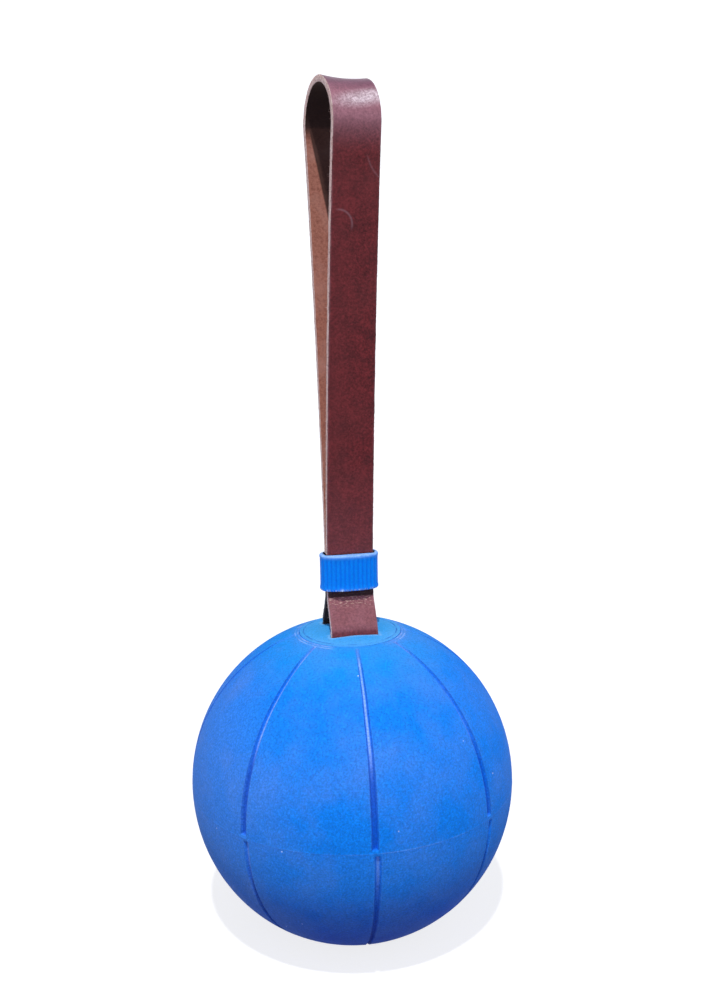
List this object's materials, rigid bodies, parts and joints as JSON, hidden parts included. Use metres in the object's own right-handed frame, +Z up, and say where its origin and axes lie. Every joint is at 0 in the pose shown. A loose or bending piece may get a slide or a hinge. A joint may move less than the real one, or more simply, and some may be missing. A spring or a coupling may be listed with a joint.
{
  "type": "slingball",
  "caption": "Grooved hollow rubber ball with a leather hand loop anchored under its crown cap and a rubber slider that closes the loop.",
  "frame": {"origin": "middle of the small standing flat at the ball's lower pole", "axes": "+Z up along the strap, the strap's faces look along -Y (front run) and +Y (rear run), +X across the strap's width"},
  "size_m": [0.1748, 0.1748, 0.4471],
  "materials": {
    "ball_rubber": "matt, lightly dusty",
    "cap_rubber": "matt",
    "slider_rubber": "satin",
    "strap_leather": "worn grain, pale raw edges",
    "anchor_steel": "zinc plated",
    "rivet_metal": "copper"
  },
  "bodies": {
    "ball": {"shell_upper_half": "ball_rubber", "shell_lower_half": "ball_rubber", "crown_cap": "cap_rubber", "anchor_plate": "anchor_steel", "crossbar": "anchor_steel", "tail_rivet_1": "rivet_metal", "tail_rivet_2": "rivet_metal", "rivet_burr_1": "rivet_metal", "rivet_burr_2": "rivet_metal", "strap_front_tail": "strap_leather", "strap_rear_tail": "strap_leather"},
    "loop": {"strap_front_stem": "strap_leather", "strap_rear_stem": "strap_leather", "strap_crest": "strap_leather"},
    "front_run": {"strap_front_run": "strap_leather"},
    "rear_run": {"strap_rear_run": "strap_leather"},
    "slider": {"slider": "slider_rubber"}
  },
  "joints": [
    {"name": "loop_tilt", "type": "hinge", "parent": "ball", "child": "loop", "pos_m": [0, 0, 0.18608], "axis": [1, 0, 0], "range_deg": [-60, 60]},
    {"name": "slider_slide", "type": "slide", "parent": "loop", "child": "slider", "axis": [0, 0, 1], "range_m": [0, 0.11], "deforming": ["strap_front_run", "strap_rear_run"]},
    {"name": "front_run_close", "type": "hinge", "parent": "loop", "child": "front_run", "pos_m": [0, -0.0019, 0.21008], "axis": [-1, 0, 0], "range_deg": [0, 4.8]},
    {"name": "rear_run_close", "type": "hinge", "parent": "loop", "child": "rear_run", "pos_m": [0, 0.0019, 0.21008], "axis": [1, 0, 0], "range_deg": [0, 4.8]}
  ],
  "couplings": [
    {"joint": "front_run_close", "follows": "slider_slide", "rad_per_m": 0.75},
    {"joint": "rear_run_close", "follows": "slider_slide", "rad_per_m": 0.75}
  ]
}
